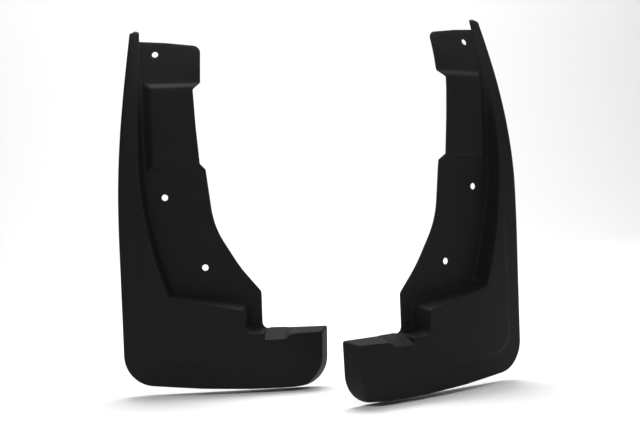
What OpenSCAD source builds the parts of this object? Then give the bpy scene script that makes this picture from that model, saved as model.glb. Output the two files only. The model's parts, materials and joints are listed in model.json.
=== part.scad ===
// A pair of moulded mud flaps (splash guards), left and right, mirror images of each other.
// Each flap is one thin shell: a screw flange that follows the wheel arch, an outer rim that
// stands proud of it, and a broad lower body with a short arm on its inboard side.
// Origin: front of the left flap's middle screw hole. +Z up, the proud side faces -Y, and
// the left flap's outboard edge is on its -X side.

/* [Moulding] */
// Wall thickness all over
wall = 2.5; // [2:0.1:3.5]
// Height of the raised centre panel on the lower body
panel_rise = 1.5; // [0.5:0.1:1.8]
// Height of the small bead where the inner wall meets the flange
bead_rise = 1.2; // [0.5:0.1:2]
// Width of that bead
bead_w = 3; // [2:0.5:5]

/* [Screw holes] */
// Diameter of each screw hole
hole_d = 8; // [6:0.5:9]
// Upper hole, distance outboard of the middle hole
upper_hole_out = 6.5; // [4:0.5:10]
// Upper hole, height above the middle hole
upper_hole_up = 182; // [178:1:186]
// Lower hole, distance inboard of the middle hole
lower_hole_in = 47; // [40:1:55]
// Lower hole, drop below the middle hole
lower_hole_down = 90; // [80:1:95]

/* [Outboard rim] */
// Middle hole to the outboard edge
edge_out = 57.5; // [54:0.5:60]
// Radius of the outboard edge, seen from the front
edge_r = 1600; // [1500:50:2000]
// Middle hole to the rim's inner wall
rim_out = 27; // [25:0.5:30]
// Radius of the inner wall below the middle hole, seen from the front
rim_r = 476; // [450:2:500]
// Height of the rim's tip above the middle hole
tip_up = 215; // [210:1:220]

/* [Screw flange] */
// Inside radius of the bend that follows the wheel arch
arch_r = 200; // [180:5:240]
// Angle that the upper tab leans back
arch_angle = 18.5; // [14:0.5:20]
// Height where the bend starts
arch_start = 98; // [90:1:105]
// Tilt of the bend line, higher on the inboard side
arch_skew = 16.7; // [10:0.1:18]
// Middle hole to the upper tab's inboard edge
tab_in = 50.5; // [48:0.5:54]
// Height of the raised pad above the flange
pad_rise = 6; // [4:0.5:7]
// Height of the pad's lower wall
pad_low = 37.5; // [34:0.5:40]
// Height of the pad's upper wall
pad_high = 140.5; // [136:0.5:142]
// Middle hole to the pad's outboard wall
pad_out = 17; // [15:0.5:19]

/* [Lower body] */
// How far the body's front stands proud of the flange
body_proud = 24.5; // [22:0.5:26]
// Radius of the body's crowned front, seen from above
crown_r = 1100; // [900:50:1400]
// Inboard position of the crown's highest line
crown_in = 90; // [80:1:100]
// Middle hole to the arm's inboard end
arm_in = 198.5; // [190:0.5:204]
// Drop of the arm's top ledge
ledge_down = 171; // [169:0.5:173]
// Drop of the bottom edge at the arm's end
bottom_down = 249; // [244:0.5:252]
// Radius of both bottom corners
corner_r = 38; // [30:1:40]

/* [Pair] */
// Angle of the mirror plane between the flaps, so they are toed in by twice this
toe = 13.2; // [5:0.1:20]
// Right flap's middle hole, to the right of the left one
right_x = 384; // [370:1:420]
// Right flap's middle hole, behind the left one
right_y = -38.5; // [-45:0.5:0]

/* [Hidden] */
$fn = 96;

black = [0.10, 0.10, 0.105];
reach = 420;                  // longer than the flap, for cutting solids
edge_low = -55;               // the outboard edge is upright below this height,
edge_high = 105;              // curved up to this one, and straight above
edge_tip = 211;               // height of the tip's outboard corner
rim_straight = 50;            // the inner wall is upright above this height
rim_bend_r = 548;             // the rim leans back above the middle hole on this radius
rim_bend_z = -4;
front_x = [-75, 225];         // the crowned front is drawn between these, past both sides
body_corner = [rim_x(-121.5), -121.5];
pocket_x = 96.5;              // upright wall between the body and the arm's pocket
pocket_top = [pocket_x, -141.5];
bottom_bend = [40, 9.1];      // bend in the bottom edge, and how far it has risen there
bottom_rise = 18;             // the bottom edge is this much higher at the outboard side
arm_lean = 2.2;               // the arm's end is this much longer at the ledge
scoop_x = [118, 147];         // width of the drain scoop in the ledge
scoop_drop = 9.5;             // how far the scoop falls towards the front
free_x = 116.4;               // upright end of the flange's free edge
deep = 20;                    // depth that blocks are filled to, before the back is cut off
proud_limit = 60;             // further forward than anything on the flap
past = 40;                    // further than any wall is deep, for clearing the scoop
// How far back the tab is at the upper hole
tab_run = upper_hole_up * cos(arch_skew) + upper_hole_out * sin(arch_skew) - arch_start;
tab_back = arch_r * (1 - cos(arch_angle)) + (tab_run - arch_r * sin(arch_angle)) * tan(arch_angle);

// ---- outlines, seen from the front: [inboard, up], anticlockwise ----
function unit(v) = v / norm(v);
function left_of(p, q) = let (u = unit(q - p)) [-u[1], u[0]];
function rev(p) = [for (i = [len(p) - 1 : -1 : 0]) p[i]];
function turn(a) = a > 180 ? a - 360 : a < -180 ? a + 360 : a;

// An arc from angle a0 to a1 in n steps
function arc(c, r, a0, a1, n) =
    [for (i = [0 : n]) let (a = a0 + (a1 - a0) * i / n) c + r * [cos(a), sin(a)]];

// The corner b of the path a-b-c rounded to radius r
function fillet(a, b, c, r) =
    let (u = unit(a - b), v = unit(c - b), half = acos(u * v) / 2)
    let (mid = b + unit(u + v) * r / sin(half), s = b + u * r / tan(half) - mid)
    let (e = b + v * r / tan(half) - mid, a0 = atan2(s[1], s[0]))
    let (sweep = turn(atan2(e[1], e[0]) - a0))
    arc(mid, r, a0, a0 + sweep, max(3, ceil(abs(sweep) / 9)));

// A closed outline from corners [x, z, radius]
function rounded(p) =
    let (n = len(p), xy = [for (q = p) [q[0], q[1]]])
    [for (i = [0 : n - 1])
        each p[i][2] == 0 ? [xy[i]] : fillet(xy[(i + n - 1) % n], xy[i], xy[(i + 1) % n], p[i][2])];

// The outline p moved inwards by d, or outwards if d is negative
function inset(p, d) =
    let (n = len(p))
    [for (i = [0 : n - 1])
        let (a = left_of(p[(i + n - 1) % n], p[i]), b = left_of(p[i], p[(i + 1) % n]))
        p[i] + d * (a + b) / (1 + a * b)];

// Inner wall of the rim: upright above rim_straight, curving inboard below it
function rim_x(z) = -rim_out + (z < rim_straight ? pow(z - rim_straight, 2) / (2 * rim_r) : 0);
// Outboard edge: upright, then curving inboard, then straight up to the tip
function edge_x(z) =
    let (rise = max(min(z, edge_high), edge_low) - edge_low)
    -edge_out + (rise * rise / 2 + max(z - edge_high, 0) * (edge_high - edge_low)) / edge_r;
function sharp(p) = [for (q = p) [q[0], q[1], 0]];

// Rim, lower body and arm as one region
face_outline = rounded(concat(
    [[edge_x(edge_tip), edge_tip, 0]],
    sharp([for (z = [edge_high : -20 : edge_low]) [edge_x(z), z]]),
    [[-edge_out, -bottom_down + bottom_rise, corner_r],
     [bottom_bend[0], -bottom_down + bottom_bend[1], 0],
     [arm_in - arm_lean, -bottom_down, corner_r],
     [arm_in, -ledge_down, 3],
     [pocket_x, -ledge_down, 8],
     [pocket_top[0], pocket_top[1], 7],
     [body_corner[0], body_corner[1], 5]],
    sharp([for (z = [-100 : 25 : rim_straight]) [rim_x(z), z]]),
    [[-rim_out, tip_up, 0]]));

// Flange with its tab; it runs on under the rim and body, where it is cut away
flange_outline = rounded([
    [-40, 201, 0], [-40, -100, 0], [0, -160, 0], [60, -174, 0], [130, -174, 0],
    [130, -ledge_down + 1.5, 0], [free_x, -ledge_down + 1.5, 10], [free_x, -123, 8],
    [91, -91.5, 200], [60, -38.5, 110], [52.3, 33.5, 0], [45.6, 41, 0],
    [42.3, 88, 0], [40.4, 134, 0], [tab_in - 0.8, 143, 3], [tab_in, 190.5, 10], [7, 197, 0]]);

pad_outline = [[-pad_out, pad_low], [90, pad_low - 1], [90, pad_high], [-pad_out, pad_high]];
pad_inner = [[-pad_out + wall, pad_low + wall], [95, pad_low - 1 + wall],
    [95, pad_high - wall], [-pad_out + wall, pad_high - wall]];

// Edge of the body's raised centre panel, a band's width inside the outline; its upper
// side runs on past the body's inner wall
panel_outline = rounded([
    [-5, -10, 0], [-34, -62, 16], [-34, -205, 25], [90, -213, 0], [138, -213, 20],
    [163, -205, 14], [162, -150, 0], [100, -110, 0]]);

// ---- building blocks ----
// Upright prism of an outline, all the way through from front to back
module through(outline) rotate([90, 0, 0]) linear_extrude(2 * reach, center = true) polygon(outline);

// Side profile of the arch surface, moved k towards the front: [back, up]
function arch(k) = concat(
    [[-k, -reach]],
    [for (i = [0 : 8]) let (a = arch_angle * i / 8)
        [arch_r - (arch_r + k) * cos(a), arch_start + (arch_r + k) * sin(a)]],
    [[arch_r - (arch_r + k) * cos(arch_angle) + reach * sin(arch_angle),
      arch_start + (arch_r + k) * sin(arch_angle) + reach * cos(arch_angle)]]);

// The layer between two such surfaces
module layer(front, back)
    rotate([0, -arch_skew, 0]) rotate([90, 0, 90])
        linear_extrude(2 * reach, center = true) polygon(concat(arch(front), rev(arch(back))));

// Front of the rim and body seen from above, moved d to the back: [inboard, back]
function crown(d) = [for (x = [front_x[0] : 15 : front_x[1]])
    [x, crown_r - body_proud - sqrt(pow(crown_r - d, 2) - pow(x - crown_in, 2))]];

// Everything behind that front, which leans back above rim_bend_z
module behind_front(d) {
    axis_y = rim_bend_r - body_proud;
    front = crown(d);
    translate([0, 0, rim_bend_z - reach]) linear_extrude(reach)
        polygon(concat(front, [[front_x[1], axis_y], [front_x[0], axis_y]]));
    translate([0, axis_y, rim_bend_z]) rotate([0, 90, 0]) rotate([0, 0, 180])
        rotate_extrude(angle = 90)
            polygon(concat([for (p = front) [axis_y - p[1], p[0]]], [[0, front_x[1]], [0, front_x[0]]]));
}

// ---- regions of one flap, each filled back to a deep layer ----
module face_block() intersection() {
    through(face_outline);
    behind_front(0);
}

// The centre panel of the lower body, proud of the rest
module panel_block() intersection() {
    through(face_outline);
    through(panel_outline);
    translate([0, -panel_rise, 0]) behind_front(0);
}

module flange_block() intersection() {
    through(flange_outline);
    union() {
        layer(0, -deep);
        intersection() { layer(bead_rise, -deep); through(inset(face_outline, -bead_w)); }
        intersection() { layer(pad_rise, -deep); through(pad_outline); }
    }
}

// ---- what is hollow behind the front ----
module face_hollow() intersection() {
    through(inset(face_outline, wall));
    union() {
        behind_front(wall);
        intersection() {
            through(inset(panel_outline, wall));
            translate([0, -panel_rise, 0]) behind_front(wall);
        }
    }
}

module pad_hollow() intersection() {
    through(pad_inner);
    layer(pad_rise - wall, -deep);
}

// Space above the drain scoop's ramp, lowered by d and widened by d at each end
module scoop_space(d)
    translate([scoop_x[0] - d, 0, -ledge_down]) rotate([90, 0, 90])
        linear_extrude(scoop_x[1] - scoop_x[0] + 2 * d)
            polygon([[0, -d], [-past, -d - past * scoop_drop / body_proud], [-past, past], [0, past]]);

module screw_holes() {
    rotate([90, 0, 0]) cylinder(d = hole_d, h = 8 * wall, center = true);
    translate([lower_hole_in, 0, -lower_hole_down])
        rotate([90, 0, 0]) cylinder(d = hole_d, h = 8 * wall, center = true);
    translate([-upper_hole_out, tab_back, upper_hole_up]) rotate([0, -arch_skew, 0])
        rotate([90 - arch_angle, 0, 0]) cylinder(d = hole_d, h = 8 * wall, center = true);
}

module flap() difference() {
    intersection() {
        layer(proud_limit, -wall);
        union() {
            face_block();
            panel_block();
            flange_block();
        }
    }
    difference() {
        face_hollow();
        scoop_space(wall);
    }
    scoop_space(0);
    pad_hollow();
    screw_holes();
}

module left_flap() color(black) flap();

module right_flap() color(black)
    translate([right_x, right_y, 0]) mirror([cos(toe), sin(toe), 0]) flap();

left_flap();
right_flap();
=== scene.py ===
import json
import math
import bmesh
import bpy
import numpy as np
from mathutils import Matrix, Vector
from mathutils.geometry import delaunay_2d_cdt


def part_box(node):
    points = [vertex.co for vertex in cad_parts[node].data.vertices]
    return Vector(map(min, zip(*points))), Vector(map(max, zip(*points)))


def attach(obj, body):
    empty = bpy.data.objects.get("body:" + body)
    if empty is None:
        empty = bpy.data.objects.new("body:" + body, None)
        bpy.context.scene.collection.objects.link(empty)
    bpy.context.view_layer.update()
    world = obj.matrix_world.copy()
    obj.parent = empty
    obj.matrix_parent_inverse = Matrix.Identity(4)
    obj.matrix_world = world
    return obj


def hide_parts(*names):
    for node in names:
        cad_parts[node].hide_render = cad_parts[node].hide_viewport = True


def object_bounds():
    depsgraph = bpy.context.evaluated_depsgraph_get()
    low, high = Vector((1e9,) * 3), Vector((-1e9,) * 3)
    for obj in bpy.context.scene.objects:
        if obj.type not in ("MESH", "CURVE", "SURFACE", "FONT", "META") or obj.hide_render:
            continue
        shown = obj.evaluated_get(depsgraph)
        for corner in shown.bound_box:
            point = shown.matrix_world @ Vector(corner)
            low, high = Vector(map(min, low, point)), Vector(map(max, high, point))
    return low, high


# The looks of a pair of moulded mud flaps. Each flap is one closed shell: a front skin, a
# back skin one wall behind it, and a rounded edge between them. The left flap is worked out
# in its own frame in millimetres, [inboard, up] seen from the front and y to the back; the
# right flap is its mirror image.

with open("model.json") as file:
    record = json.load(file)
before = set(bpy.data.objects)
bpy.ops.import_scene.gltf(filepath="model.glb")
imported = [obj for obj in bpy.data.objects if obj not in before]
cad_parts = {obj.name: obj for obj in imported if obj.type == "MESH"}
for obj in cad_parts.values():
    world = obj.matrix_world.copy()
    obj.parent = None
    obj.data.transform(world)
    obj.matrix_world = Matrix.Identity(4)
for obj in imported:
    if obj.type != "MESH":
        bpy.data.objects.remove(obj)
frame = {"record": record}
cad_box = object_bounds()
MM = 0.001

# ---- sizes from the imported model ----
LOW, HIGH = (np.array(corner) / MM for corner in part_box("left_flap"))
MOUNTS = {m["name"]: m for m in frame["record"]["mounts"]}
EDGE_X, END_X = LOW[0], HIGH[0]
BOTTOM_Z, TIP_Z = LOW[2], HIGH[2]
CORNER_Z = BOTTOM_Z - 1.9   # the bottom edge's line at the arm's end, under the round corner

# ---- moulding ----
WALL = 2.5
EDGE_ROUND = 0.6            # rounding of every trimmed edge
HAIR = 0.1                  # the foot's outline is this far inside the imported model
LEAST_RUN = 0.02            # a wall runs out by at least this much on its way back
SKEWED_RUN = 1.5            # with a longer run its sections follow the run's own direction
FOOT_ROUND = (0.15, 0.5)    # rounding of the wall's foot, and how much more at the flange
HEEL_ROUND = (0.1, 2.6)     # the same inside the wall
JOIN_RUN = 9.0              # distance over which the flange's extra rounding and bead set in
ROUND_SHARES = (EDGE_ROUND / WALL, 1 - EDGE_ROUND / WALL)  # where a rounded edge bends
FLAT = np.array([1.0, 0.0])  # straight out, as a section direction [out, back]

# ---- mesh fineness ----
SPACING = 2.6               # distance between stations along the outline
STEP_ANGLE = 0.26           # widest angle between stations round a corner
TRIM_SPACING = 1.9          # the same two for the flange's free edge
TRIM_ANGLE = 0.16
LINE_SPACING = 3.0          # distance between points along the panel's step
GRID = 5.0                  # distance between points inside a face
HOLE_POINTS = 40            # points round a screw hole
HOLE_RING = 2.2             # distance from a hole to the ring of points round it
HOLE_CLEAR = 3.5            # distance from a hole to the nearest other points
ARC_STEPS = 5               # steps round the wall's outer edge, and round its other corners
BEND_STEPS = 3
PANEL_STEPS = 10            # steps round a corner of the panel
WALL_STEPS = 3              # steps down the wall
SHARP_ANGLE = math.radians(38)
EASE_POINTS = 4.0           # points over which the flange's rounded edge begins and ends

# ---- outline of the body ----
EDGE_CURVE = (-55.0, 105.0)  # heights between which the outboard edge curves
EDGE_R = 1600.0
BOTTOM_RISE = 18.0          # the bottom edge is this much higher at the outboard side
BEND_X, BEND_RISE = 40.0, 9.1  # bend in the bottom edge, and how far it has risen there
ARM_LEAN = 2.2              # the arm's end leans out by this much at the ledge
LOW_CORNER_R = 38.6         # the outboard bottom corner
ARM_CORNER_R = 38.0         # the arm's low corner
LEDGE_Z = -171.0
TAB_Z = 199.8               # where the tab's top edge meets the rim
NOTCH_X = 126.4             # where the flange's free edge runs out on the ledge
RIM_BEND_Z = 50.0           # below this height the rim's inner side curves inboard

# ---- arch surface of the flange ----
ARCH_R = 200.0
ARCH_START = 98.0
ARCH_ANGLE = math.radians(18.5)
ARCH_SKEW = math.radians(16.7)

# ---- crowned front of the rim and body ----
PROUD = 24.5
CROWN_R = 1100.0
CROWN_X = 90.0
LEAN_R = 548.0
LEAN_Z = -4.0

# ---- raised centre panel of the body ----
PANEL_RISE = 1.5
PANEL_RUN = 2.0             # width of the panel's step, and how much wider it is at the arm
PANEL_SPREAD = 9.0
PANEL_ARM = (135.0, 22.0)   # where the step starts to widen, and over what distance
PANEL_ROUND = 0.12          # rounding of the step, as a share of its width
PANEL_FADE = (-70.0, -15.0)  # the panel's edge sinks away between these heights

# ---- bead along the foot of the inner wall ----
BEAD_RISE = 1.1
BEAD_WIDTH = 2.0
BEAD_SLOPE = 0.9

# ---- raised pad of the flange ----
PAD_RISE = 6.0
PAD_X = (-21.0, 8.5)        # foot of the outboard wall, and its run
PAD_TOP = (143.5, 6.5)
PAD_LOW = (33.0, 6.5)
PAD_ROUND = 0.16            # rounding of the pad's edges, as a share of the run
PAD_BACK_SHIFT = 1.0        # the pad's hollow is smaller than the pad by this on each side

# ---- camera ----
LENS = 50.6
CAMERA_PLACE = (0.1104, -1.1407, -0.0017)
CAMERA_RIGHT = (0.9965, -0.0743, -0.0375)
CAMERA_UP = (0.0390, 0.0196, 0.9990)
CAMERA_BEHIND = (-0.0735, -0.9970, 0.0224)


def unit(v):
    return v / max(np.linalg.norm(v), 1e-9)


def smooth(t):
    t = np.clip(t, 0, 1)
    return t * t * (3 - 2 * t)


def soft_clip(t, r):
    """t held between 0 and 1, with both corners rounded over a width r."""
    def floor0(u):
        return 0.5 * (u + np.sqrt(u * u + r * r)) - 0.5 * r
    return np.clip(floor0(t) - floor0(t - 1), 0, 1)


# ---- surfaces: how far back a point [x, z] is ----
def arch_y(x, z, rise):
    """The flange surface, raised by rise towards the front."""
    x, z = np.asarray(x, float), np.asarray(z, float)
    run = z * math.cos(ARCH_SKEW) - x * math.sin(ARCH_SKEW) - ARCH_START
    r = ARCH_R + rise
    end = r * math.sin(ARCH_ANGLE)
    bent = np.clip(run, 0, end)
    y = ARCH_R - np.sqrt(r * r - bent * bent)
    return y + np.maximum(run - end, 0) * math.tan(ARCH_ANGLE)


def crown_y(x, z):
    """The front of the rim and body, without the raised panel."""
    x, z = np.asarray(x, float), np.asarray(z, float)
    crown = (x - CROWN_X) ** 2 / (2 * CROWN_R)
    lean = np.maximum(z - LEAN_Z, 0) ** 2 / (2 * LEAN_R)
    return -PROUD + crown + lean


def distance_to(points, line, closed=False):
    """Distance from each point to a polyline, and whether it is left of the nearest part."""
    p = np.asarray(points, float)
    a = np.asarray(line, float)
    b = np.roll(a, -1, 0) if closed else a[1:]
    a = a if closed else a[:-1]
    ab = b - a
    length = np.maximum((ab ** 2).sum(1), 1e-12)
    best = np.full(len(p), 1e9)
    side = np.zeros(len(p))
    for start, step, ll in zip(a, ab, length):
        t = np.clip(((p - start) @ step) / ll, 0, 1)
        off = p - start - t[:, None] * step
        d = np.hypot(off[:, 0], off[:, 1])
        near = d < best
        cross = step[0] * (p[:, 1] - start[1]) - step[1] * (p[:, 0] - start[0])
        best = np.where(near, d, best)
        side = np.where(near, cross, side)
    return best, side > 0


def inside(points, loop):
    """Which points lie inside a closed loop."""
    p = np.asarray(points, float)
    found = np.zeros(len(p), bool)
    for a, b in zip(loop, np.roll(loop, -1, 0)):
        if a[1] == b[1]:
            continue
        crosses = (a[1] > p[:, 1]) != (b[1] > p[:, 1])
        at = a[0] + (p[:, 1] - a[1]) * (b[0] - a[0]) / (b[1] - a[1])
        found ^= crosses & (p[:, 0] < at)
    return found


# ---- outlines, anticlockwise seen from the front ----
class Mark:
    """A corner of the body's outline: f on the front edge line, g on the wall's foot.
    fr and gr round them; a negative gr spreads the foot's points along a straight line."""
    def __init__(self, f, g, fr=0.0, gr=0.0, edge=1.2):
        self.f, self.g = np.array(f, float), np.array(g, float)
        self.fr, self.gr, self.edge = fr, gr, edge


def edge_x(z):
    """The outboard edge: upright below, curving in, and straight again above."""
    curved = max(min(z, EDGE_CURVE[1]), EDGE_CURVE[0]) - EDGE_CURVE[0]
    slope = (EDGE_CURVE[1] - EDGE_CURVE[0]) / EDGE_R
    return EDGE_X + curved ** 2 / (2 * EDGE_R) + max(z - EDGE_CURVE[1], 0) * slope


def rim_side_x(z, straight, curve, lean, lean_z, lean_run):
    """The rim's inner side: upright above RIM_BEND_Z, curving inboard below it, and
    leaning out near the tip."""
    curved = (z < RIM_BEND_Z) * (z - RIM_BEND_Z) ** 2 / curve
    return straight + curved - lean * smooth((z - lean_z) / lean_run)


def rim_front_x(z):
    return rim_side_x(z, straight=-29.2, curve=970, lean=1.4, lean_z=150, lean_run=50)


def rim_foot_x(z):
    return rim_side_x(z, straight=-24.9, curve=920, lean=3.6, lean_z=165, lean_run=42)


def bottom_z(x):
    return CORNER_Z + float(np.interp(x, (EDGE_X, BEND_X, END_X), (BOTTOM_RISE, BEND_RISE, 0)))


def edge_round(z):
    """Rounding of the outboard edge: broad beside the rim, small at the tip and below."""
    small, added = 1.8, 1.2
    beside_rim = smooth(z / 85) * (1 - smooth((z - 160) / 45))
    return small + added * float(beside_rim)


def outboard_marks():
    """The outer corner of the tip, and the outboard edge from there down."""
    marks = [Mark((edge_x(209) + 0.6, 210.0), (edge_x(211), 211.0), 3.0, 3.4, 1.2)]
    for z in np.linspace(196, -60, 17):
        front, foot = (edge_x(z) + 0.5, z), (edge_x(z) + HAIR, z)
        marks.append(Mark(front, foot, edge=edge_round(z)))
    return marks


def bottom_mark(x, gap, edge):
    """A point of the bottom edge; the front edge line is gap above its lowest line."""
    return Mark((x, bottom_z(x) + gap), (x, bottom_z(x) + HAIR), edge=edge)


def bottom_marks():
    """The outboard bottom corner, the bottom edge, and the low corner of the arm."""
    low, arm_x = bottom_z(EDGE_X), END_X - ARM_LEAN - 0.8
    return [
        Mark((EDGE_X + 0.6, low + 0.6), (EDGE_X + HAIR, low + HAIR),
             LOW_CORNER_R, LOW_CORNER_R + 0.4, 2.6),
        bottom_mark(BEND_X, 0.7, 2.8),
        bottom_mark(100, 0.9, 3.0),
        bottom_mark(135, 2.6, 3.2),
        Mark((188.2, CORNER_Z + 7.2), (arm_x, CORNER_Z + HAIR),
             ARM_CORNER_R, ARM_CORNER_R, 2.0),
    ]


def ledge_marks():
    """The arm's ledge with its scoop, and the wall from there up to the rim."""
    return [
        # end of the arm
        Mark((190.0, -174.6), (END_X - 0.8, LEDGE_Z), 3.2, 3.0, 1.4),
        # scoop: its sloping inboard side, then its steep outboard side
        Mark((151.5, -174.8), (152.0, -170.7), 7, -3.0, 1.2),
        Mark((144.5, -181.0), (144.0, -170.5), 5, -2.5, 1.2),
        Mark((117.6, -181.3), (120.6, -170.0), 1.5, -0.8, 0.9),
        Mark((116.2, -172.9), (117.4, -169.9), 1.6, -0.8, 0.7),
        # upright wall at the end of the ledge, and the sloping wall from there to the rim
        Mark((93.1, -172.6), (99.8, -168.9), 10, 7, 1.2),
        Mark((93.4, -143.4), (99.8, -138.6), 4.5, 8, 1.2),
        Mark((1.9, -122.8), (7.2, -119.2), 1.4, 1.4, 1.2),
    ]


def rim_marks():
    """The rim's inner side up to the tab, and the inner corner of the tip."""
    heights = np.r_[np.linspace(-110, 46, 14), np.linspace(60, 188, 9), TAB_Z]
    marks = [Mark((rim_front_x(z), z), (rim_foot_x(z), z)) for z in heights]
    tip = Mark((rim_front_x(214), 213.2), (rim_foot_x(214), TIP_Z - 0.8), 2.6, 3.2, 1.0)
    return marks + [tip]


def outline_marks():
    return outboard_marks() + bottom_marks() + ledge_marks() + rim_marks()


def turn_of(a, b, c):
    u, v = unit(b - a), unit(c - b)
    return math.atan2(u[0] * v[1] - u[1] * v[0], float(u @ v))


def fillet(a, b, c, r, n):
    """n + 1 points round the corner b, and the centre of the arc."""
    u, v, turn = unit(b - a), unit(c - b), turn_of(a, b, c)
    reach = r * math.tan(abs(turn) / 2)
    s = math.copysign(1, turn)
    start = b - u * reach
    normal = np.array([-u[1], u[0]]) * s
    centre = start + normal * r
    steps = [turn * i / n for i in range(n + 1)]
    spin = [np.array([[math.cos(t), -math.sin(t)], [math.sin(t), math.cos(t)]]) for t in steps]
    return [centre + m @ (start - centre) for m in spin], centre


class Station:
    """One place along the body's outline. Its wall goes from f on the front edge line to g
    on the wall's foot; a section point is [n, y], n out from f and y back from the front."""
    def __init__(self, f, g, edge, corner=None, centre=None, radius=0.0):
        self.f, self.g, self.edge = f, g, edge
        self.corner, self.centre, self.radius = corner, centre, radius

    def measure(self, joined):
        """The wall's size here; joined is 1 where the flange joins it and 0 where not."""
        across = self.g - self.f
        self.joined = joined
        self.y0 = float(crown_y(*self.f))
        self.w = max(float(across @ self.out), LEAST_RUN)
        self.depth = float(arch_y(*self.g, 0.0)) - BEAD_RISE * joined - self.y0
        self.deep = float(arch_y(*self.g, -WALL)) - self.y0
        self.slope = unit(np.array([self.w, self.depth]))
        self.go = across / self.w if self.w > SKEWED_RUN else self.out

    def inset(self, d):
        """The point d inside the front edge line; at a tight outer corner it stops where
        the two sides meet."""
        if self.centre is not None and d > self.radius - 0.15:
            return self.corner + (self.centre - self.corner) * d / self.radius
        return self.f - self.out * d

    def place(self, shell, n, y):
        """A section point added to the shell; inside the edge it follows the crown."""
        xz = self.f + self.go * n if n > 0 else self.inset(-n)
        lift = float(crown_y(*xz)) - self.y0 if n < 0 else 0.0
        return shell.add(xz, self.y0 + y + lift)

    def outside(self):
        """The wall's outside, from its rounded front edge to its foot."""
        end = np.array([self.w, self.depth])
        foot_round = FOOT_ROUND[0] + FOOT_ROUND[1] * self.joined
        section = profile_arc(np.zeros(2), FLAT, self.slope, self.edge, ARC_STEPS)
        base = profile_arc(end, self.slope, FLAT, foot_round, BEND_STEPS)
        if self.joined < 0.01:
            base = [end - self.slope * t for t in (0.6, 0.4, 0.2, 0.0)]
        a, b = section[-1], base[0]
        between = [a + (b - a) * k / WALL_STEPS for k in range(1, WALL_STEPS)]
        return section + between + base

    def inside(self):
        """The wall's inside, one wall behind the front down to the flange's back."""
        shift = WALL * (1 - self.slope[0]) / self.slope[1]
        top = np.array([-shift, WALL])
        heel_n = top[0] + (self.deep - WALL) * self.slope[0] / self.slope[1]
        heel = np.array([heel_n, self.deep])
        slope = unit(heel - top)
        tight = min(0.5, 0.3 * (self.deep - WALL))
        heel_round = HEEL_ROUND[0] + HEEL_ROUND[1] * self.joined
        under = profile_arc(top, FLAT, slope, tight, BEND_STEPS)
        turn_in = profile_arc(heel, slope, FLAT, heel_round, BEND_STEPS)
        halfway = under[-1] + (turn_in[0] - under[-1]) / 2
        return under + [halfway] + turn_in


def corner_stations(before, m, after):
    """The stations of one mark: one, or several round its arc."""
    if m.fr == 0:
        return [Station(m.f, m.g, m.edge)]
    turn = turn_of(before.f, m.f, after.f)
    n = max(3, math.ceil(max(m.fr, m.gr) * abs(turn) / SPACING),
            math.ceil(abs(turn) / STEP_ANGLE))
    front, centre = fillet(before.f, m.f, after.f, m.fr, n)
    if m.gr > 0:
        foot, _ = fillet(before.g, m.g, after.g, m.gr, n)
    else:
        u, v = unit(m.g - before.g), unit(after.g - m.g)
        shares = [-1 + 2 * k / n for k in range(n + 1)]
        foot = [m.g + (u if t < 0 else v) * t * -m.gr for t in shares]
    corner = (m.f, centre) if turn > 0 else (None, None)
    return [Station(f, g, m.edge, *corner, m.fr) for f, g in zip(front, foot)]


def stations_between(a, b):
    """Evenly spaced stations between two others, without the two."""
    longest = max(np.linalg.norm(b.f - a.f), np.linalg.norm(b.g - a.g))
    n = max(1, round(longest / SPACING))
    shares = [k / n for k in range(1, n)]
    return [Station(a.f + (b.f - a.f) * t, a.g + (b.g - a.g) * t, a.edge + (b.edge - a.edge) * t)
            for t in shares]


def stations():
    """Every station of the outline, with the direction out from it."""
    marks = outline_marks()
    count = len(marks)
    ends = [corner_stations(marks[i - 1], m, marks[(i + 1) % count])
            for i, m in enumerate(marks)]
    found = []
    for i, row in enumerate(ends):
        found += row + stations_between(row[-1], ends[(i + 1) % count][0])
    for i, s in enumerate(found):
        before, after = found[i - 1], found[(i + 1) % len(found)]
        along = unit(unit(s.f - before.f) + unit(after.f - s.f))
        s.out = np.array([along[1], -along[0]])
    return found


def flange_corners(start, end):
    """Corners of the flange's free edge with their roundings, from the arm's ledge round
    to the rim's tip."""
    return [
        (start, 0), ((116.4, start[1]), 8),                        # along the ledge
        ((116.6, -123), 9), ((91, -91.5), 200), ((60.0, -38.5), 110),   # up to the arch
        ((52.3, 33.6), 1.2), ((45.6, 41.0), 1.2), ((42.3, 88), 300),    # beside the pad
        ((40.4, 134), 2.5), ((49.7, 143.2), 2.5),                  # step out to the tab
        ((50.9, 190.6), 10), ((6.7, 196.8), 0), (end, 0)]          # round the tab


def rounded_line(corners, steps_of, spacing):
    """A polyline through corners, each (point, rounding); steps_of(rounding, turn) gives
    the number of steps round a corner."""
    points = [np.array(p, float) for p, _ in corners]
    line = []
    for i, (_, r) in enumerate(corners):
        if r == 0:
            line.append(points[i])
            continue
        a, b, c = points[i - 1:i + 2]
        line += fillet(a, b, c, r, steps_of(r, abs(turn_of(a, b, c))))[0]
    return resample(line, spacing)


def trim_steps(r, turn):
    return max(2, math.ceil(turn / TRIM_ANGLE), math.ceil(r * turn / SPACING))


def resample(line, spacing):
    """The same polyline with its long sides divided."""
    made = [line[0]]
    for a, b in zip(line, line[1:]):
        n = max(1, round(np.linalg.norm(b - a) / spacing))
        made += [a + (b - a) * k / n for k in range(1, n + 1)]
    return made


# ---- raised details, as functions of [x, z] ----
PANEL_CORNERS = [
    ((-34.5, 20), 0), ((-34, -205.5), 25), ((74, -211.5), 0), ((140, -213), 14),
    ((165, -206), 14), ((163, -150), 0)]


def panel_steps(r, turn):
    return PANEL_STEPS


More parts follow.
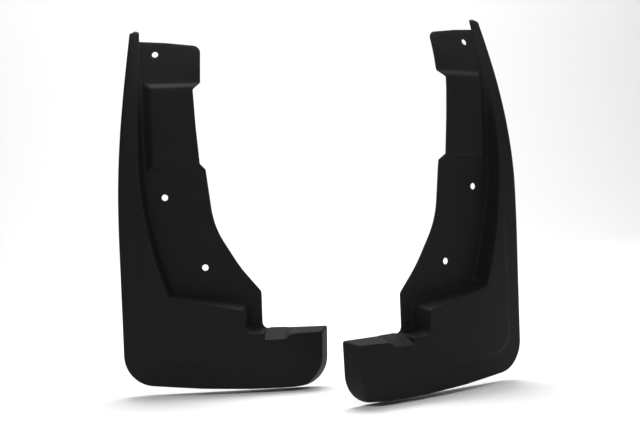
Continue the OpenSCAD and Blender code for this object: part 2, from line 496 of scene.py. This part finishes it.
def panel_rise(points, line):
    """The centre panel stands proud; its step is crisp outboard and below, soft at the arm."""
    d, left = distance_to(points, line)
    d = np.where(left, d, -d)
    run = PANEL_RUN + PANEL_SPREAD * smooth((points[:, 0] - PANEL_ARM[0]) / PANEL_ARM[1])
    fade = smooth((PANEL_FADE[1] - points[:, 1]) / (PANEL_FADE[1] - PANEL_FADE[0]))
    return PANEL_RISE * fade * soft_clip(d / run + 0.5, PANEL_ROUND)


def pad_share(points, shift=0.0):
    """0 outside the pad and 1 on top of it, with sloping walls between."""
    x, z = points[:, 0], points[:, 1]
    outboard = (x - PAD_X[0] - shift) / PAD_X[1]
    above = (PAD_TOP[0] - shift - z) / PAD_TOP[1]
    below = (z - PAD_LOW[0] - shift) / PAD_LOW[1]
    return soft_clip(np.minimum(np.minimum(outboard, above), below), PAD_ROUND)


def bead_share(d):
    return 1 - smooth((d - BEAD_WIDTH) / BEAD_SLOPE)


# ---- mesh building ----
class Shell:
    def __init__(self):
        self.points, self.faces = [], []

    def add(self, xz, y):
        self.points.append((xz[0], float(y), xz[1]))
        return len(self.points) - 1

    def flat(self, i):
        """Point i seen from the front."""
        return self.points[i][0], self.points[i][2]

    def strip(self, rows, closed):
        """Quads between rows of indices; rows[i] and rows[i + 1] have the same length."""
        for a, b in zip(rows, rows[1:]):
            for k in range(len(a) if closed else len(a) - 1):
                j = (k + 1) % len(a)
                self.faces.append([a[k], b[k], b[j], a[j]])

    def fill(self, loops, lines, inner, height, back):
        """Triangles inside loops[0] and outside the other loops, through the points of
        lines and inner. loops hold indices; height gives y for new points."""
        coords, ids, edges = [], [], []
        for loop in loops:
            first = len(coords)
            coords += [self.flat(i) for i in loop]
            ids += loop
            edges += [(first + k, first + (k + 1) % len(loop)) for k in range(len(loop))]
        for line in lines:
            first = len(coords)
            coords += [tuple(p) for p in line]
            edges += [(first + k, first + k + 1) for k in range(len(line) - 1)]
        coords += [tuple(p) for p in inner]
        ids += [None] * (len(coords) - len(ids))
        vectors = [Vector((float(x), float(z))) for x, z in coords]
        made, _, tris, origin, _, _ = delaunay_2d_cdt(vectors, edges, [], 0, 1e-4)
        flat = np.array([(p.x, p.y) for p in made])
        y = height(flat)
        index = []
        for i, sources in enumerate(origin):
            known = [ids[s] for s in sources if ids[s] is not None]
            index.append(known[0] if known else self.add(flat[i], y[i]))
        middle = np.array([flat[list(t)].mean(0) for t in tris])
        keep = inside(middle, self.outline(loops[0]))
        for loop in loops[1:]:
            keep &= ~inside(middle, self.outline(loop))
        for t, kept in zip(tris, keep):
            if kept:
                tri = [index[i] for i in t]
                self.faces.append(tri[::-1] if back else tri)

    def outline(self, ids):
        return np.array([self.flat(i) for i in ids])


def grid_in(loop, clear, spacing):
    """A staggered grid of points inside a loop, clear of the given lines."""
    loop = np.array(loop)
    low, high = loop.min(0), loop.max(0)
    rows = []
    for j, z in enumerate(np.arange(low[1], high[1], spacing * 0.866)):
        xs = np.arange(low[0] + (j % 2) * spacing / 2, high[0], spacing)
        rows.append(np.column_stack([xs, np.full(len(xs), z)]))
    grid = np.concatenate(rows)
    grid = grid[inside(grid, loop)]
    for line, gap in clear:
        grid = grid[distance_to(grid, np.array(line))[0] > gap]
    return grid


def parallel(line, d):
    """The polyline moved d to its left."""
    p = np.array(line)
    ahead = np.vstack([p[1:], p[-1]]) - np.vstack([p[0], p[:-1]])
    ahead /= np.maximum(np.linalg.norm(ahead, axis=1), 1e-9)[:, None]
    return p + d * np.column_stack([-ahead[:, 1], ahead[:, 0]])


def runs_in(line, loop, gap):
    """The parts of a polyline that lie inside a loop and clear of it."""
    p = np.array(line)
    ok = inside(p, loop) & (distance_to(p, loop, closed=True)[0] > gap)
    runs, now = [], []
    for point, good in zip(p, ok):
        if good:
            now.append(point)
        elif now:
            runs.append(now)
            now = []
    return [r for r in runs + [now] if len(r) > 1]


def profile_arc(corner, d0, d1, r, n):
    """n + 1 points [out, back] round a corner of the wall's section between the unit
    directions d0 and d1."""
    cross = d0[0] * d1[1] - d0[1] * d1[0]
    turn = math.atan2(cross, float(d0 @ d1))
    reach = r * math.tan(abs(turn) / 2)
    s = math.copysign(1, turn)
    start = corner - d0 * reach
    centre = start + np.array([-d0[1], d0[0]]) * s * r
    made = []
    for i in range(n + 1):
        t = turn * i / n
        spin = np.array([[math.cos(t), -math.sin(t)], [math.sin(t), math.cos(t)]])
        made.append(centre + spin @ (start - centre))
    return made


def wall_rows(shell, line, taper):
    """Points down the body's wall at every station, outside and inside; taper is 0 where
    no flange joins the wall."""
    outer, inner = [], []
    for s, joined in zip(line, taper):
        s.measure(joined)
        outer.append([s.place(shell, *p) for p in s.outside()])
        inner.append([s.place(shell, *p) for p in s.inside()])
    return outer, inner


def columns(rows):
    return [list(column) for column in zip(*rows)]


def hole_specs():
    """Centre and radius of each screw hole of the left flap, from the record."""
    found = []
    for name, m in MOUNTS.items():
        if m["kind"] == "bore" and name.startswith("left"):
            found.append((np.array(m["pos_m"]) / MM, m["dims"]["r_mm"]))
    return found


def cut_edge(shell, front, back, outline):
    """The rounded edge between a front loop and a back loop of indices."""
    rows = [front]
    for share in ROUND_SHARES:
        row = []
        for f, b, xz in zip(front, back, outline):
            y = shell.points[f][1] + (shell.points[b][1] - shell.points[f][1]) * share
            row.append(shell.add(xz, y))
        rows.append(row)
    rows.append(back)
    return rows


class Flange:
    """The flange's front and back; foot holds the points where it joins the body's wall."""
    def __init__(self, foot, taper):
        self.foot, self.taper = foot, taper

    def rise(self, points, shift=0.0):
        """How far the pad, and on the front the bead at the foot, stand proud."""
        d, _ = distance_to(points, self.foot)
        near = np.argmin(((points[:, None] - self.foot[None]) ** 2).sum(2), 1)
        bead = BEAD_RISE * bead_share(d) * self.taper[near]
        return bead * (shift == 0) + PAD_RISE * pad_share(points, shift)

    def front_y(self, points):
        return arch_y(points[:, 0], points[:, 1], self.rise(points))

    def back_y(self, points):
        rise = self.rise(points, PAD_BACK_SHIFT) - WALL
        return arch_y(points[:, 0], points[:, 1], rise)


def flange_ends(line):
    """The stations where the flange's free edge meets the body, on the ledge and the rim."""
    on_ledge = [i for i, s in enumerate(line) if abs(s.g[1] - LEDGE_Z) < 4]
    notch = min(on_ledge, key=lambda i: abs(line[i].g[0] - NOTCH_X))
    tab = max(i for i, s in enumerate(line) if abs(s.g[1] - TAB_Z) < 0.01)
    return notch, tab


def joined_taper(line, notch, tab):
    """For every station, 1 along the flange, easing to 0 at its two ends, and 0 beyond."""
    away = np.zeros(len(line))
    for i in range(notch, tab + 1):
        away[i] = min(foot_length(line, notch, i), foot_length(line, i, tab))
    return smooth(away / JOIN_RUN)


def foot_length(line, a, b):
    g = [line[i].g for i in range(a, b + 1)]
    return float(sum(np.linalg.norm(q - p) for p, q in zip(g, g[1:])))


def wall_edge(shell, line, free, outer, inner):
    """The rounded edge along the free part of the body's wall."""
    ridge = [[outer[i][-1] for i in free]]
    for share in ROUND_SHARES + (1.0,):
        row = []
        for s in (line[i] for i in free):
            y = s.depth + (s.deep - s.depth) * share
            n = s.w * y / s.depth - (EDGE_ROUND if share == 1.0 else 0.0)
            row.append(shell.add(s.f + s.go * n, s.y0 + y))
        ridge.append(row)
    shell.strip(ridge[::-1], False)
    shell.strip([[inner[i][-1] for i in free], ridge[-1]], False)
    return ridge


def flange_trim(shell, flange, edge, ridge):
    """The rounded free edge of the flange, between the two ends of the wall's edge."""
    count = np.arange(len(edge))
    ease = smooth(count / EASE_POINTS) * smooth(count[::-1] / EASE_POINTS)
    inset = np.array(edge) + (parallel(edge, EDGE_ROUND) - np.array(edge)) * ease[:, None]
    between = inset[1:-1]
    front = [shell.add(p, y) for p, y in zip(between, flange.front_y(between))]
    back = [shell.add(p, y) for p, y in zip(between, flange.back_y(between))]
    rows = cut_edge(shell, front, back, edge[1:-1])
    rows = [[a[-1]] + row + [a[0]] for a, row in zip(ridge, rows)]
    shell.strip(rows[::-1], False)
    return front, back


class ScrewHole:
    """A hole through the flange: its loops on the front and back, and the points round it."""
    def __init__(self, shell, flange, centre, r):
        self.r = r
        self.middle = np.array([centre[0], centre[2]])
        on_slope = centre[1] > 1
        turns = np.linspace(0, 2 * math.pi, HOLE_POINTS, endpoint=False)
        ring = np.column_stack([np.cos(turns), np.sin(turns)])
        squeeze = np.array([1.0, math.cos(ARCH_ANGLE) if on_slope else 1.0])
        wide = self.middle + ring * (r + EDGE_ROUND) * squeeze
        bore = self.middle + ring * r * squeeze
        tilt = math.tan(ARCH_ANGLE) * WALL if on_slope else 0.0
        drop = np.array([0, -tilt * math.cos(ARCH_ANGLE) ** 2])
        self.front = [shell.add(p, y) for p, y in zip(wide, flange.front_y(wide))]
        self.back = [shell.add(p + drop, y) for p, y in zip(wide, flange.back_y(wide + drop))]
        shell.strip(cut_edge(shell, self.front, self.back, bore + drop / 2), True)
        self.around = self.middle + ring * (r + HOLE_RING)

    def far(self, points):
        """Which points are well clear of the hole."""
        return np.hypot(*(points - self.middle).T) > self.r + HOLE_CLEAR


def fill_flange(shell, flange, holes, edge, front_loop, back_loop):
    """The flange's front and back, between their loops and round the holes."""
    outline = shell.outline(front_loop)
    bead_lines = []
    for steps in (0, 0.5, 1, 2):
        d = BEAD_WIDTH + steps * BEAD_SLOPE
        bead_lines += runs_in(parallel(flange.foot, -d), outline, 0.8 * min(d, 1.6))
    pad_lines = pad_rings(outline)
    clear = [(flange.foot, 6.0), (np.array(edge), 2.6)]
    clear += [(p, 1.6) for p in pad_lines] + [(hole.around, 2.2) for hole in holes]
    grid = grid_in(outline, clear, GRID)
    for hole in holes:
        grid = grid[hole.far(grid)]
    extra = np.concatenate([grid] + [hole.around for hole in holes])
    fronts, backs = [hole.front for hole in holes], [hole.back for hole in holes]
    shell.fill([front_loop] + fronts, bead_lines + pad_lines, extra, flange.front_y, False)
    shell.fill([back_loop] + backs, pad_lines, extra, flange.back_y, True)


def fill_face(shell, outer, inner):
    """The front of the rim, body and arm with the raised panel, and the back behind it."""
    panel = rounded_line(PANEL_CORNERS, panel_steps, LINE_SPACING)
    front_loop, back_loop = [row[0] for row in outer], [row[0] for row in inner]
    outline = shell.outline(front_loop)
    steps = []
    for d in (-1.6, -0.8, 0.0, 0.8, 1.6):
        steps += runs_in(parallel(panel, d), outline, 1.2)
    clear = [(np.vstack([outline, outline[:1]]), 2.4), (np.array(panel), 3.4)]
    grid = grid_in(outline, clear, GRID)

    def face_y(points):
        return crown_y(points[:, 0], points[:, 1]) - panel_rise(points, panel)

    shell.fill([front_loop], steps, grid, face_y, False)
    shell.fill([back_loop], steps, grid, lambda p: face_y(p) + WALL, True)
    raise_rings(shell, outer + inner, panel)


def build_flap():
    """The left flap as one closed shell."""
    shell = Shell()
    line = stations()
    notch, tab = flange_ends(line)
    joined = range(notch, tab + 1)
    free = list(range(tab, len(line))) + list(range(notch + 1))
    taper = joined_taper(line, notch, tab)
    outer, inner = wall_rows(shell, line, taper)
    shell.strip(columns(outer)[::-1], True)
    shell.strip(columns(inner), True)
    ridge = wall_edge(shell, line, free, outer, inner)

    flange = Flange(np.array([line[i].g for i in joined]), taper[notch:tab + 1])
    start, end = shell.flat(outer[notch][-1]), shell.flat(outer[tab][-1])
    edge = rounded_line(flange_corners(start, end), trim_steps, TRIM_SPACING)
    front, back = flange_trim(shell, flange, edge, ridge)
    holes = [ScrewHole(shell, flange, *spec) for spec in hole_specs()]
    front_loop = [outer[i][-1] for i in joined] + front[::-1]
    heel = [inner[i][-1] for i in joined]
    back_loop = heel + [ridge[-1][0]] + back[::-1] + [ridge[-1][-1]]
    fill_flange(shell, flange, holes, edge, front_loop, back_loop)
    fill_face(shell, outer, inner)
    return shell


def raise_rings(shell, rows, panel):
    """Where the panel runs out through the edge, the edge rises with it."""
    ids = [i for row in rows for i in row]
    p = np.array([shell.points[i] for i in ids])
    foot = arch_y(p[:, 0], p[:, 2], 0.0)
    fade_depth = 12.0
    share = smooth((foot - p[:, 1]) / fade_depth)
    y = p[:, 1] - panel_rise(p[:, (0, 2)], panel) * share
    for i, (x, _, z), new_y in zip(ids, p, y):
        shell.points[i] = (x, float(new_y), z)


def pad_rings(loop):
    """Lines along the pad's walls, closer where the walls bend."""
    past_edge = 70.0
    made = []
    for share in (-0.2, 0.0, 0.2, 0.5, 0.8, 1.0, 1.2):
        x = PAD_X[0] + PAD_X[1] * share
        top = PAD_TOP[0] - PAD_TOP[1] * share
        low = PAD_LOW[0] + PAD_LOW[1] * share
        corners = [(past_edge, top), (x, top), (x, low), (past_edge, low)]
        made += runs_in(resample([np.array(p) for p in corners], 2.0), loop, 1.0)
    return made


def smooth_mesh(mesh):
    for polygon in mesh.polygons:
        polygon.use_smooth = True


def link_new(name, data):
    made = bpy.data.objects.new(name, data)
    bpy.context.collection.objects.link(made)
    return made


def mesh_of(name, shell, mirror=None):
    """The shell as a mesh, mirrored for the right flap."""
    bm = bmesh.new()
    verts = [bm.verts.new(Vector(p) * MM) for p in shell.points]
    for face in shell.faces:
        if len(set(face)) == len(face):
            bm.faces.new([verts[i] for i in face])
    bmesh.ops.remove_doubles(bm, verts=bm.verts, dist=0.00001)
    loose = [v for v in bm.verts if not v.link_faces]
    bmesh.ops.delete(bm, geom=loose, context="VERTS")
    bmesh.ops.dissolve_degenerate(bm, dist=0.00002, edges=bm.edges)
    bmesh.ops.recalc_face_normals(bm, faces=bm.faces)
    if mirror is not None:
        bm.transform(mirror)
        bmesh.ops.reverse_faces(bm, faces=bm.faces)
    mesh = bpy.data.meshes.new(name)
    bm.to_mesh(mesh)
    bm.free()
    smooth_mesh(mesh)
    mesh.set_sharp_from_angle(angle=SHARP_ANGLE)
    return mesh


def mirror_matrix():
    """The left flap mirrored to the right flap's place, from the record's mounts."""
    hole = MOUNTS["right_middle_hole"]
    ax, ay, _ = hole["axis"]
    toe = math.atan2(-ax, ay) / 2
    n = Vector((math.cos(toe), math.sin(toe), 0))
    flip = Matrix.Identity(3) - 2 * Matrix([[a * b for b in n] for a in n])
    return Matrix.Translation(Vector(hole["pos_m"])) @ flip.to_4x4()


# ---- material ----
PLASTIC_DARK = (0.0048, 0.0048, 0.0048, 1)
PLASTIC_PALE = (0.0076, 0.0076, 0.0074, 1)
# painted highlight: the paler colour given to the sharp convex edges
PLASTIC_EDGE_HIGHLIGHT = (0.013, 0.013, 0.0125, 1)
GLOSS = {"To Min": 0.54, "To Max": 0.64}        # roughness between clouds of gloss
# how sharp an edge must be to get the painted highlight
EDGE_HIGHLIGHT_SHARE = {"From Min": 0.52, "From Max": 0.62}
MIX_SHARE, MIX_A, MIX_B, MIX_RESULT = 0, 6, 7, 2  # sockets of a colour Mix node


def node(tree, kind, sockets=None, **values):
    """A new node; values are sockets or settings, and sockets has the names with spaces."""
    made = tree.nodes.new(kind)
    for key, value in {**(sockets or {}), **values}.items():
        if key in made.inputs:
            made.inputs[key].default_value = value
        else:
            setattr(made, key, value)
    return made


def colour_mix(tree, share, a, b):
    """A colour between a and b; a is a fixed colour or a socket."""
    made = node(tree, "ShaderNodeMix", data_type="RGBA")
    tree.links.new(share, made.inputs[MIX_SHARE])
    if isinstance(a, tuple):
        made.inputs[MIX_A].default_value = a
    else:
        tree.links.new(a, made.inputs[MIX_A])
    made.inputs[MIX_B].default_value = b
    return made.outputs[MIX_RESULT]


def new_material(name):
    mat = bpy.data.materials.new(name)
    mat.use_nodes = True
    return mat, mat.node_tree.nodes["Principled BSDF"]


def plastic():
    """Satin black moulding: a fine even grain, cloudy gloss, and a painted highlight that makes
    the sharp convex edges slightly paler.
    """
    mat, shader = new_material("flap_plastic")
    tree = mat.node_tree
    link = tree.links.new
    place = node(tree, "ShaderNodeTexCoord").outputs["Object"]
    grain = node(tree, "ShaderNodeTexNoise", Scale=1500.0, Detail=3.0, Roughness=0.6)
    cloud = node(tree, "ShaderNodeTexNoise", Scale=28.0, Detail=4.0, Roughness=0.55)
    link(place, grain.inputs["Vector"])
    link(place, cloud.inputs["Vector"])
    gloss = node(tree, "ShaderNodeMapRange", GLOSS)
    link(cloud.outputs["Fac"], gloss.inputs["Value"])
    link(gloss.outputs["Result"], shader.inputs["Roughness"])
    # painted highlight: sharp convex edges, found by pointiness, turn paler
    edge = node(tree, "ShaderNodeMapRange", EDGE_HIGHLIGHT_SHARE)
    link(node(tree, "ShaderNodeNewGeometry").outputs["Pointiness"], edge.inputs["Value"])
    speckle = colour_mix(tree, grain.outputs["Fac"], PLASTIC_DARK, PLASTIC_PALE)
    colour = colour_mix(tree, edge.outputs["Result"], speckle, PLASTIC_EDGE_HIGHLIGHT)
    link(colour, shader.inputs["Base Color"])
    bump = node(tree, "ShaderNodeBump", Strength=0.35, Distance=0.00012)
    link(grain.outputs["Fac"], bump.inputs["Height"])
    link(bump.outputs["Normal"], shader.inputs["Normal"])
    shader.inputs["IOR"].default_value = 1.46
    shader.inputs["Specular IOR Level"].default_value = 0.16
    return mat


def pale(name, shade):
    """A matt pale surface."""
    mat, shader = new_material(name)
    shader.inputs["Base Color"].default_value = (shade, shade, shade, 1)
    shader.inputs["Roughness"].default_value = 0.9
    return mat


# ---- stage, light and camera ----
def backdrop():
    """A pale floor that sweeps up into a pale wall behind the flaps."""
    floor_z = BOTTOM_Z * MM - 0.001
    front, back, half_width, height = -4.0, 2.6, 6.0, 4.0
    bend_r, bend_steps = 1.2, 16
    path = [(front, floor_z), (back, floor_z)]
    for i in range(1, bend_steps + 1):
        a = math.pi / 2 * i / bend_steps
        path.append((back + bend_r * math.sin(a), floor_z + bend_r * (1 - math.cos(a))))
    path.append((back + bend_r, floor_z + height))
    points = [(x, y, z) for y, z in path for x in (-half_width, half_width)]
    faces = [(2 * i, 2 * i + 1, 2 * i + 3, 2 * i + 2) for i in range(len(path) - 1)]
    mesh = bpy.data.meshes.new("backdrop")
    mesh.from_pydata(points, [], faces)
    smooth_mesh(mesh)
    mesh.materials.append(pale("pale_stage", 0.9))
    link_new("backdrop", mesh)


def lamp(name, place, aim, size, power):
    light = bpy.data.lights.new(name, "AREA")
    light.shape = "RECTANGLE"
    light.size, light.size_y = size
    light.energy = power
    made = link_new(name, light)
    made.location = place
    made.rotation_euler = (Vector(aim) - Vector(place)).to_track_quat("-Z", "Y").to_euler()


def lights():
    """Soft boxes overhead, high in front and on the right, and a lamp that lights the wall
    behind; the world adds a little light from all sides."""
    x = (cad_box[0][0] + cad_box[1][0]) / 2
    middle = (x, 0.0, 0.0)
    lamp("overhead", (x, 0.35, 2.0), aim=(x, 0.25, 0.0), size=(1.4, 0.7), power=42)
    lamp("front_top", (x - 0.1, -1.9, 1.7), aim=middle, size=(1.4, 0.7), power=24)
    lamp("right_box", (1.9, -0.7, 1.35), aim=middle, size=(0.9, 0.9), power=7)
    lamp("back_wall", (x, 1.4, 2.4), aim=(x, 3.4, 0.2), size=(5.0, 1.0), power=80)
    world = bpy.data.worlds.new("studio")
    world.use_nodes = True
    background = world.node_tree.nodes["Background"]
    background.inputs["Color"].default_value = (1, 1, 1, 1)
    background.inputs["Strength"].default_value = 0.18
    bpy.context.scene.world = world


def camera():
    """The viewing angle: level with the middle holes, a little to the left."""
    data = bpy.data.cameras.new("camera")
    data.sensor_width = 36.0
    data.lens = LENS
    axes = [Vector(axis) for axis in (CAMERA_RIGHT, CAMERA_UP, CAMERA_BEHIND)]
    made = link_new("camera", data)
    made.matrix_world = Matrix.Translation(CAMERA_PLACE) @ Matrix(axes).transposed().to_4x4()
    bpy.context.scene.camera = made


def flaps():
    """Both mouldings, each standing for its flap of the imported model."""
    shell = build_flap()
    finish = plastic()
    for side, mirror in (("left", None), ("right", mirror_matrix())):
        name = side + "_moulding"
        mesh = mesh_of(name, shell, mirror)
        mesh.materials.append(finish)
        piece = link_new(name, mesh)
        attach(piece, "root")
        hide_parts(side + "_flap")


flaps()
backdrop()
lights()
camera()
bpy.context.scene.view_settings.view_transform = "Standard"
